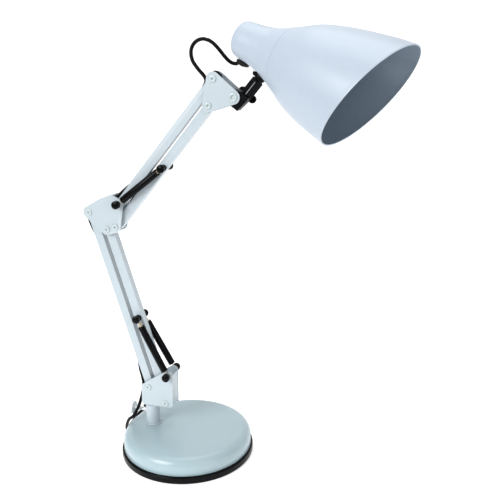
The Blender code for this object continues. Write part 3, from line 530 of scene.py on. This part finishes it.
def make_cords():
    routes = cord_routes()
    radius = CORD_D / 2
    captive = (("upper", "upper_bar_left", "cord_upper_arm"),
               ("lower", "elbow", "cord_lower_arm"))
    pieces = {}
    for key, spots in routes.items():
        if key == "tail":
            continue
        line = smooth_line(spots, 2.2)
        mesh = tube_mesh(line, radius)
        node = {"to_shade": "cord_to_shade", "loop": "cord_head_loop",
                "at_head": "cord_at_head_pivot", "upper": "cord_upper_arm",
                "lower": "cord_lower_arm", "at_post": "cord_at_post_pivot"}[key]
        pieces[key] = (show(node + "_fine", mesh, "cord_black", None, "black_plastic", (node,)),
                       line)
    blends = {
        "to_shade": ("tilt_block", "head", routes["to_shade"][-1], routes["to_shade"][0]),
        "loop": ("head_bracket", "tilt_block", routes["loop"][-1], routes["loop"][0]),
        "at_head": ("upper_bar_left", "head_bracket", routes["at_head"][-1],
                    routes["at_head"][0]),
        "upper": ("elbow", "upper_bar_left", (-84.0, 0.0, 326.0), (-66.0, 0.0, 349.0)),
        "lower": ("lower_bar_left", "elbow", (-117.0, 0.0, 290.0), (-120.0, 0.0, 318.0)),
        "at_post": ("pivot_bracket", "lower_bar_left", routes["at_post"][-1],
                    routes["at_post"][0]),
    }
    for key, (a, b, start, end) in blends.items():
        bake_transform(pieces[key][0])
    for key in ("to_shade", "loop", "at_head", "at_post"):
        piece, line = pieces[key]
    tail = smooth_line(routes["tail"], 2.2)
    coil = coil_points()
    join = smooth_line([tuple(tail[-3]), tuple(tail[-1]), *coil[:3]], 2.2)
    whole = np.array([*tail[:-3], *join[:-1], *coil[2:]])
    rest = smooth_line(whole[::2], 2.6)
    mesh = tube_mesh(rest, radius, 12)
    piece = show("cord_free", mesh, "cord_black", None, "black_plastic",
                 ("cord_tail", "cord_coil"))
    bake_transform(piece)
    plug = make_plug()
    make_tie()
    return rest


def make_plug():
    return refined("plug", "black_plastic", 1.0, "black_plastic")


def make_tie():
    """A band round the coil's turns, on the far side from the base."""
    turn = math.radians(60)
    half_wide, high = CORD_D + 1.0, 4 * CORD_D + 0.9
    corners = [(-half_wide, 0.5), (half_wide, 0.5), (half_wide, 3 * CORD_D + 0.8),
               (1.0, high), (-half_wide, high)]
    centre = np.array((COIL_X, COIL_Y, 0.0))
    out = np.array((math.cos(turn), math.sin(turn), 0.0))
    along_turn = np.array((-math.sin(turn), math.cos(turn), 0.0))
    line = smooth_line([(r, h, 0.0) for r, h in [*corners, corners[0]]], 1.2)
    rings = []
    shape = bmesh.new()
    middle = line.mean(0)
    for r, h, _ in line[:-1]:
        ring = []
        for scale, side in ((1.0, -1.8), (1.0, 1.8), (0.92, 1.8), (0.92, -1.8)):
            rr = middle[0] + (r - middle[0]) * scale
            hh = max(middle[1] + (h - middle[1]) * scale, 0.25)
            spot = centre + out * (COIL_MEAN_R + rr) + along_turn * side
            ring.append(shape.verts.new((spot[0] * MM, spot[1] * MM, hh * MM)))
        rings.append(ring)
    for a, b in zip(rings, rings[1:] + rings[:1]):
        for k in range(4):
            shape.faces.new((a[k], a[(k + 1) % 4], b[(k + 1) % 4], b[k]))
    mesh = bpy.data.meshes.new("tie")
    shape.to_mesh(mesh)
    shape.free()
    return show("cord_tie", mesh, "rubber", "stand", "black_plastic", (), 40)


# ---- base and post --------------------------------------------------------------------------

def make_base():
    ring = rounded([(83.9, 9.0), (85.0, 7.9), (85.0, 1.0), (84.0, 0.0), (70.0, 0.0),
                    (70.0, 3.6), (80.6, 3.6), (80.6, 9.0)], 0.8, 4)
    show("base_ring_fine", lathe(ring, 160), "black_gloss", "stand", "black_plastic",
         ("base_ring",), 50)
    edge = 11.5
    top, outer = 30.6, 82.4
    shoulder = [(outer - edge + edge * math.cos(t), top - edge + edge * math.sin(t))
                for t in np.radians(np.linspace(90, 0, 20))]
    inner = [(outer - 1.2 - edge + edge * math.cos(t), top - 1.2 - edge + edge * math.sin(t))
             for t in np.radians(np.linspace(0, 90, 12))]
    cover = [(0.0, top), (12.0, top), (40.0, top), (68.0, top), *shoulder, (outer, 9.6),
             (outer - 0.3, 9.3), (outer - 1.0, 9.3), (outer - 1.2, 9.6), *inner,
             (0.0, top - 1.2)]
    show("base_cover_fine", lathe(cover, 160, closed=False), "base_white_painted_shade", "stand",
         "painted_white", ("base_cover",), 50)
    place = Matrix.Translation((POST_X * MM, 0, 0))
    post = rounded([(6.5, 58.0), (9.0, 58.0), (9.0, 30.9), (5.6, 30.9), (5.6, 35.9),
                    (6.5, 37.1)], 0.8, 3)
    show("post_fine", moved(lathe(post, 48), place), "painted_white", "stand", "painted_white",
         ("post_tube",), 50)
    collar = rounded([(9.2, 30.75), (11.2, 30.75), (11.2, 31.9), (9.2, 31.9)], 0.5, 3)
    show("post_collar", moved(lathe(collar, 48), place), "painted_white", "stand",
         "painted_white", (), 50)
    knob_place = axis_place(world((0.0, KNOB_Z)), (-1, 0, 0))
    inner_x, face = -POST_X + 6.9, -POST_X + 26.5
    far = face + 5.6
    knob = rounded([(0.0, far - 0.7), (5.4, far - 0.7), (6.0, far), (8.5, far), (8.5, face),
                    (3.4, face), (3.4, face - 1.6), (2.4, face - 1.6), (2.4, inner_x),
                    (0.0, inner_x)], 0.9, 4)
    mesh = lathe(knob, 72, closed=False)
    for v in mesh.vertices:
        r = math.hypot(v.co.x, v.co.y)
        if r > 7.6 * MM:
            t = math.atan2(v.co.y, v.co.x)
            k = 1 - 0.035 * (0.5 + 0.5 * math.cos(24 * t))
            v.co.x *= k
            v.co.y *= k
    show("thumbscrew_fine", moved(mesh, knob_place), "gloss_white", "thumbscrew", "gloss_white",
         ("thumbscrew",), 50)
    refined("bracket_spindle", "steel", 0.3, "steel")


# ---- arms -----------------------------------------------------------------------------------

def make_rivet(node, point, half, head):
    """A tubular rivet with rolled heads."""
    near, far = half + 0.3, half + 1.3
    dish = head - 2.7
    side = [(dish, far - 0.25), (dish + 0.4, far), (head - 0.8, far), (head - 0.2, far - 0.35),
            (head, near + 0.25), (head - 0.1, near), (2.6, near)]
    profile = side + [(r, -h) for r, h in reversed(side)]
    show(node + "_fine", moved(lathe(profile, 40), axis_place(world(point), (0, 1, 0))),
         "rivet_paint", BODY_OF[node], "painted_white", (node,), 60)
    bore = [(0.0, -half + 0.5), (dish - 0.05, -half + 0.5), (dish - 0.05, half - 0.5),
            (0.0, half - 0.5)]
    show(node + "_dark", moved(lathe(bore, 20, closed=False),
                               axis_place(world(point), (0, 1, 0))), "rivet_paint",
         BODY_OF[node], "painted_white")


def make_washers():
    """Spacers between each bar and the bracket plates round it."""
    rows = ((P1, 9.9, "pivot_bracket"), (P2, 9.9, "pivot_bracket"), (E1, 9.9, "elbow"),
            (E2, 9.9, "elbow"), (E3, 9.9, "elbow"), (H1, 9.4, "head_bracket"),
            (H2, 9.4, "head_bracket"))
    for k, (point, half, body) in enumerate(rows):
        for side in (-1, 1):
            low, high = 4.85, half - 1.2 - 0.15
            profile = rounded([(2.7, low), (4.6, low), (4.6, high), (2.7, high)], 0.4, 3)
            mesh = moved(lathe(profile, 32), axis_place(world(point), (0, side, 0)))
            show(f"spacer_{k}_{'front' if side < 0 else 'rear'}", mesh, "rivet_paint", body,
                 "painted_white", (), 60)


def make_cap(name, point, side, centre, length, body, node):
    """A rubber cap with a domed face and a thin lip."""
    near, far = centre - length / 2, centre + length / 2
    dome = [(5.0 * math.sin(t), far - 1.7 + 1.7 * math.cos(t))
            for t in np.radians(np.linspace(0, 90, 9))]
    profile = [*dome, (5.0, near + 0.6), (4.7, near), (2.8, near), (2.8, far - 1.5),
               (0.0, far - 1.5)]
    profile[0] = (0.0, far)
    show(name, moved(lathe(profile, 36, closed=False), axis_place(world(point), (0, side, 0))),
         "black_gloss", body, "rubber", (node,), 50)


def hook_mesh(peg, way, reach, radius=2.9, wire=0.75):
    """A spring's end: a loop round the peg, and a shank along the spring."""
    way = np.array(way, float)
    side = np.cross((0.0, 1.0, 0.0), way)
    side /= np.linalg.norm(side)
    spots = []
    for t in np.radians(np.linspace(20, 340, 26)):
        spots.append(np.array(peg) + radius * (-way * math.cos(t) * -1 + side * math.sin(t)))
    neck = np.array(peg) + way * (radius + 1.4)
    end = np.array(peg) + way * reach
    line = [*spots[2:-2], neck, (neck + end) / 2, end]
    return tube_mesh(smooth_line(line, 0.7), wire, 8)


def make_spring(arm, face, near, far, ends, rest_bodies):
    side = -1 if face == "front" else 1
    a = np.array((near[0], side * 12.6, near[1]))
    b = np.array((far[0], side * 9.5, far[1]))
    run = b - a
    length = float(np.linalg.norm(run))
    way = run / length
    first, last = ends[0], length - ends[1]
    outer, bore = 4.4, 3.6
    profile = [(1.2, first), (2.6, first), (4.0, first + 0.5), (outer, first + 1.6),
               (outer, last - 0.5), (outer - 0.25, last), (bore + 0.2, last),
               (bore, last - 0.4), (bore, first + 1.6), (1.2, first + 1.2)]
    place = axis_place(Vector(a * MM), way)
    sleeve = lathe(profile, 32)
    show(f"{arm}_sleeve_{face}_fine", moved(sleeve, place), "black_gloss", rest_bodies[0],
         "rubber", (f"{arm}_sleeve_{face}",), 50)
    show(f"{arm}_near_hook_{face}", hook_mesh(a, way, first + 3.0), "hook_wire", rest_bodies[0],
         "steel")
    turns, reach, start = 20, 25.0, 6.2
    helix = []
    for t in np.linspace(0, 1, turns * 12 + 1):
        turn = 2 * math.pi * turns * t
        side_way = np.cross((0.0, 1.0, 0.0), way)
        side_way /= np.linalg.norm(side_way)
        up_way = np.cross(way, side_way)
        helix.append(b - way * (start + (reach - start) * t)
                     + 1.75 * (math.cos(turn) * side_way + math.sin(turn) * up_way))
    coil = tube_mesh(helix, 0.42, 6)
    hook = hook_mesh(b, -way, start + 1.2)
    joined(f"{arm}_spring_{face}_fine", [coil, hook], "hook_wire", body=rest_bodies[1],
           slot="steel", stands_for=(f"{arm}_spring_{face}",), sharp=60)


def make_arms():
    for node in ("lower_bar_left", "lower_bar_right", "upper_bar_left", "upper_bar_right"):
        refined(node, "painted_white", 0.28, "painted_white")
    for node in ("lower_bracket", "elbow_bracket"):
        refined(node, "painted_white", 0.3, "painted_white")
    for node in ("head_plate_front", "head_plate_rear"):
        refined(node, "painted_white", 0.3, "painted_white")
    for node, point, half in (("rivet_post_left", P1, 9.9), ("rivet_post_right", P2, 9.9),
                              ("rivet_elbow_left", E1, 9.9), ("rivet_elbow_mid", E2, 9.9),
                              ("rivet_elbow_right", E3, 9.9), ("rivet_head_left", H1, 9.4),
                              ("rivet_head_right", H2, 9.4), ("rivet_head_tilt", H3, 9.4)):
        make_rivet(node, point, half, 5.2 if node == "rivet_head_tilt" else 4.2)
    make_washers()
    refined("elbow_peg_pin", "steel", 0.2, "steel")
    for face, side in (("front", -1), ("rear", 1)):
        make_cap(f"lower_near_cap_{face}_fine", S1, side, 17.6, 7.0, "pivot_bracket",
                 f"lower_near_cap_{face}")
        make_cap(f"upper_near_cap_{face}_fine", E4, side, 17.6, 7.0, "elbow",
                 f"upper_near_cap_{face}")
        make_cap(f"lower_far_cap_{face}_fine", Q1, side, 13.4, 4.6, "lower_bar_right",
                 f"lower_far_cap_{face}")
        make_cap(f"upper_far_cap_{face}_fine", Q2, side, 13.4, 4.6, "upper_bar_right",
                 f"upper_far_cap_{face}")
        for arm, peg, body in (("lower", Q1, "lower_bar_right"), ("upper", Q2, "upper_bar_right")):
            drum = rounded([(2.3, 4.9), (4.3, 4.9), (4.3, 8.2), (2.3, 8.2)], 0.4, 3)
            show(f"{arm}_peg_bush_{face}",
                 moved(lathe(drum, 32), axis_place(world(peg), (0, side, 0))), "black_gloss",
                 body, "rubber", (), 50)
        make_spring("lower", face, S1, Q1, (7.0, 10.7), ("lower_sleeves", "lower_springs"))
        make_spring("upper", face, E4, Q2, (7.2, 7.2), ("upper_sleeves", "upper_springs"))


# ---- head -----------------------------------------------------------------------------------

def make_head():
    refined("tilt_block", "black_plastic", 0.7, "black_plastic")
    refined("clamp_screw", "black_plastic", 0.6, "black_plastic")
    refined("stem", "black_plastic", 0.35, "black_plastic")
    # A thin lighter grey strip along the stem's near edge stands in for light caught there: a painted
    # highlight.
    highlight_line = [stem_place(a) @ Vector((0.0, -7.0 * MM, 0.0)) / MM for a in np.linspace(12, 29, 8)]
    show("stem_painted_highlight", tube_mesh(highlight_line, 0.42, 8), "painted_ridge_highlight", "head", "black_plastic", (), 60)
    turn = [(H1[0] + 7.0 * math.cos(t), 0.0, H1[1] + 7.0 * math.sin(t))
            for t in np.radians(np.linspace(104, -12, 14))]
    show("head_bush", tube_mesh(turn, 1.7, 12), "black_plastic", "head_bracket",
         "black_plastic", (), 60)
    place = under_neck(24.6, 36.6)
    ball = [(0.0, 5.9)] + [(3.15 * math.sin(t), 2.9 + 3.0 * math.cos(t))
                           for t in np.radians(np.linspace(20, 140, 9))]
    ball += [(1.5, 0.5), (1.5, -4.0), (0.0, -4.0)]
    show("saddle_screw_fine", moved(lathe(ball, 32, closed=False), place), "black_plastic",
         "head", "black_plastic", ("saddle_screw",), 60)
    washer = rounded([(1.7, 0.3), (3.4, 0.3), (3.4, 0.9), (1.7, 0.9)], 0.2, 2)
    show("saddle_washer", moved(lathe(washer, 32), place), "steel", "head", "steel", (), 60)
    gland = refined("cable_gland", "black_plastic", 0.9, "rubber")
    gland.matrix_world = Matrix.Translation((0.0002, 0.0, 0.0008)) @ gland.matrix_world


NECK_OUTLINE = ((0.0, 8.0), (0.9, 14.5), (3.4, 18.6), (8.0, 20.4), (14.0, 21.3), (26.0, 22.8),
                (42.0, 26.1), (52.0, 29.9), (62.0, 34.4))
BELL_OUTLINE = ((62.3, 34.6), (72.0, 39.5), (82.0, 44.7), (92.0, 49.0), (104.0, 53.0),
                (120.0, 57.0), (138.0, 60.6), (156.0, 63.6), (172.0, 65.9), (186.0, 67.0),
                (202.0, 67.4))


def make_shade():
    place = shade_place()
    outline = smooth_line(NECK_OUTLINE, 1.6)
    outside = [(0.0, 0.0), (4.0, 0.0)] + [(r, s) for s, r in outline[1:]]
    outside[-1] = (34.2, 61.9)
    inside = [(r - 1.0, s) for s, r in outline if s > 5.0]
    inside[-1] = (33.2, 61.9)
    profile = [*outside, *inside[::-1], (12.0, 1.6), (0.0, 1.4)]
    neck = show("neck_fine", moved(lathe(profile, 128, closed=False), place), "shade_white",
                "head", "painted_white", ("neck_housing",), 60)
    seam = rounded([(34.35, 61.6), (34.75, 62.0), (34.75, 62.5), (34.2, 62.7), (33.4, 62.7),
                    (33.2, 61.7)], 0.15, 2)
    show("neck_seam", moved(lathe(seam, 128), place), "shade_white", "head", "painted_white",
         (), 60)
    bell_line = smooth_line(BELL_OUTLINE, 2.0)
    cut = math.tan(MOUTH_CUT)
    steps = 160
    shape = bmesh.new()
    grid_out, grid_in = [], []
    rows = 64
    for i in range(steps):
        t = 2 * math.pi * i / steps
        outer_column, inner_column = [], []
        end = MOUTH_S
        for _ in range(12):
            r = float(np.interp(end, bell_line[:, 0], bell_line[:, 1]))
            end = MOUTH_S - cut * r * math.cos(t)
        for k in range(rows + 1):
            s = 62.7 + (end - 62.7) * k / rows
            r = float(np.interp(s, bell_line[:, 0], bell_line[:, 1]))
            hem = 0.35 if end - s < 2.2 else 0.0
            outer_column.append((r + hem * min(1.0, (end - s) / 0.5 + 0.4), s))
            inner_column.append((r - 1.0 - hem * 0.6, s))
        grid_out.append([shape.verts.new((r * MM * math.cos(t), r * MM * math.sin(t), s * MM))
                         for r, s in outer_column])
        grid_in.append([shape.verts.new((r * MM * math.cos(t), r * MM * math.sin(t), s * MM))
                        for r, s in inner_column])
    for i in range(steps):
        j = (i + 1) % steps
        for k in range(rows):
            shape.faces.new((grid_out[i][k], grid_out[j][k], grid_out[j][k + 1],
                             grid_out[i][k + 1]))
            shape.faces.new((grid_in[i][k], grid_in[i][k + 1], grid_in[j][k + 1],
                             grid_in[j][k]))
        shape.faces.new((grid_out[i][rows], grid_out[j][rows], grid_in[j][rows],
                         grid_in[i][rows]))
        shape.faces.new((grid_out[i][0], grid_in[i][0], grid_in[j][0], grid_out[j][0]))
    mesh = bpy.data.meshes.new("bell")
    shape.to_mesh(mesh)
    shape.free()
    bell = show("bell_fine", moved(mesh, place), "shade_white", "head", "painted_white",
                ("shade_bell",), 50)
    # The inner faces take the darker inner colour, which is painted shade inside the bell.
    mesh.materials.append(M["shade_inner_painted_shade"])
    in_column = 2 * rows + 2  # outer and inner faces take turns, and then come both rims
    for n, face in enumerate(mesh.polygons):
        if n % in_column < 2 * rows and n % in_column % 2:
            face.material_index = 1
    holder = rounded([(14.2, 62.0), (18.4, 62.0), (18.4, 24.0), (16.2, 20.0), (16.2, 6.0),
                      (0.0, 6.0), (0.0, 27.0), (14.2, 27.0)], 0.6, 3)
    thread = [(14.2 - 0.5 * (0.5 + 0.5 * math.cos(2 * math.pi * s / 3.6)), float(s))
              for s in np.arange(60.0, 30.0, -0.6)]
    profile = [(14.3, 62.0), (18.2, 62.0), (18.4, 61.6), (18.4, 24.0), (16.2, 20.0),
               (16.2, 6.0), (0.0, 6.0), (0.0, 27.0), (13.9, 27.2), *reversed(thread)]
    show("lamp_holder_fine", moved(lathe(profile, 72), place), "white_plastic", "head",
         "white_plastic", ("lamp_holder",), 50)
    refined("centre_contact", "brass", 0.2, "brass")


# ---- room -----------------------------------------------------------------------------------

def make_sweep():
    """A floor that curves up into a back wall."""
    profile = [(-2.5, 0.0), (1.6, 0.0)]
    profile += [(1.6 + 1.2 * math.sin(t), 1.2 - 1.2 * math.cos(t))
                for t in np.radians(np.linspace(6, 90, 15))]
    profile.append((2.8, 4.5))
    shape = bmesh.new()
    columns = [[shape.verts.new((x, y, z - 0.0002)) for y, z in profile] for x in (-5.0, 5.0)]
    for k in range(len(profile) - 1):
        shape.faces.new((columns[0][k], columns[1][k], columns[1][k + 1], columns[0][k + 1]))
    for face in shape.faces:
        face.smooth = True
    mesh = bpy.data.meshes.new("floor")
    shape.to_mesh(mesh)
    shape.free()
    floor = bpy.data.objects.new("floor", mesh)
    bpy.context.scene.collection.objects.link(floor)
    paper = material("paper", (0.90, 0.90, 0.90), 0.9, spread=0.004, bump=0.02, scale=3.0)
    shader = paper.node_tree.nodes["Principled BSDF"]
    shader.inputs["Emission Color"].default_value = (1.0, 1.0, 1.0, 1.0)
    dim_front(paper.node_tree, shader)
    floor.data.materials.append(paper)


FLOOR_GLOW = 0.42
WORLD_LIGHT = 0.34
LAMPS = (("key", (-0.9, -1.7, 1.15), 1.1, 38.0, (0.0, 0.0, 0.3)),
         ("fill", (1.4, -1.2, 0.8), 1.2, 7.0, (0.05, 0.0, 0.3)),
         ("top", (0.1, 0.3, 2.1), 1.6, 20.0, (0.0, 0.0, 0.2)))


def dim_front(tree, shader):
    """Dims the paper in front of the lamp, where the picture doesn't reach, so that it throws less
    light up at the undersides."""
    nodes, links = tree.nodes, tree.links
    spots = nodes.new("ShaderNodeTexCoord")
    parts = nodes.new("ShaderNodeSeparateXYZ")
    links.new(spots.outputs["Object"], parts.inputs["Vector"])
    ahead = nodes.new("ShaderNodeMapRange")
    ahead.interpolation_type = "SMOOTHSTEP"
    ahead.inputs["From Min"].default_value = -0.75
    ahead.inputs["From Max"].default_value = -0.35
    ahead.inputs["To Min"].default_value = 0.12
    links.new(parts.outputs["Y"], ahead.inputs["Value"])
    paint = shader.inputs["Base Color"].links[0].from_socket
    mix = nodes.new("ShaderNodeMix")
    mix.data_type = "RGBA"
    links.new(ahead.outputs["Result"], mix.inputs[0])
    mix.inputs[6].default_value = (0.02, 0.02, 0.02, 1.0)
    links.new(paint, mix.inputs[7])
    links.new(mix.outputs[2], shader.inputs["Base Color"])
    glow = nodes.new("ShaderNodeMath")
    glow.operation = "MULTIPLY"
    glow.inputs[1].default_value = FLOOR_GLOW
    links.new(ahead.outputs["Result"], glow.inputs[0])
    links.new(glow.outputs["Value"], shader.inputs["Emission Strength"])


def make_room():
    make_sweep()
    room = bpy.data.worlds.new("room")
    bpy.context.scene.world = room
    room.use_nodes = True
    light = room.node_tree.nodes["Background"]
    light.inputs["Color"].default_value = (1.0, 1.0, 1.0, 1.0)
    light.inputs["Strength"].default_value = WORLD_LIGHT
    for name, spot, size, power, aim in LAMPS:
        lamp = bpy.data.lights.new(name, "AREA")
        lamp.energy = power
        lamp.size = size
        holder = bpy.data.objects.new(name, lamp)
        holder.location = spot
        holder.rotation_euler = (Vector(aim) - Vector(spot)).to_track_quat(
            "-Z", "Y").to_euler()
        bpy.context.scene.collection.objects.link(holder)


def paint_rest():
    """The CAD nodes that stay as they are."""
    for node, paint in (("base_weight", "cast_iron"), ("base_pad", "rubber"),
                        ("post_stud", "steel")):
        frame["nodes"][node].data.materials.clear()
        frame["nodes"][node].data.materials.append(M[paint])


make_camera()
make_cords()
make_base()
make_arms()
make_head()
make_shade()
paint_rest()
make_room()
bpy.context.scene.view_settings.view_transform = "Standard"
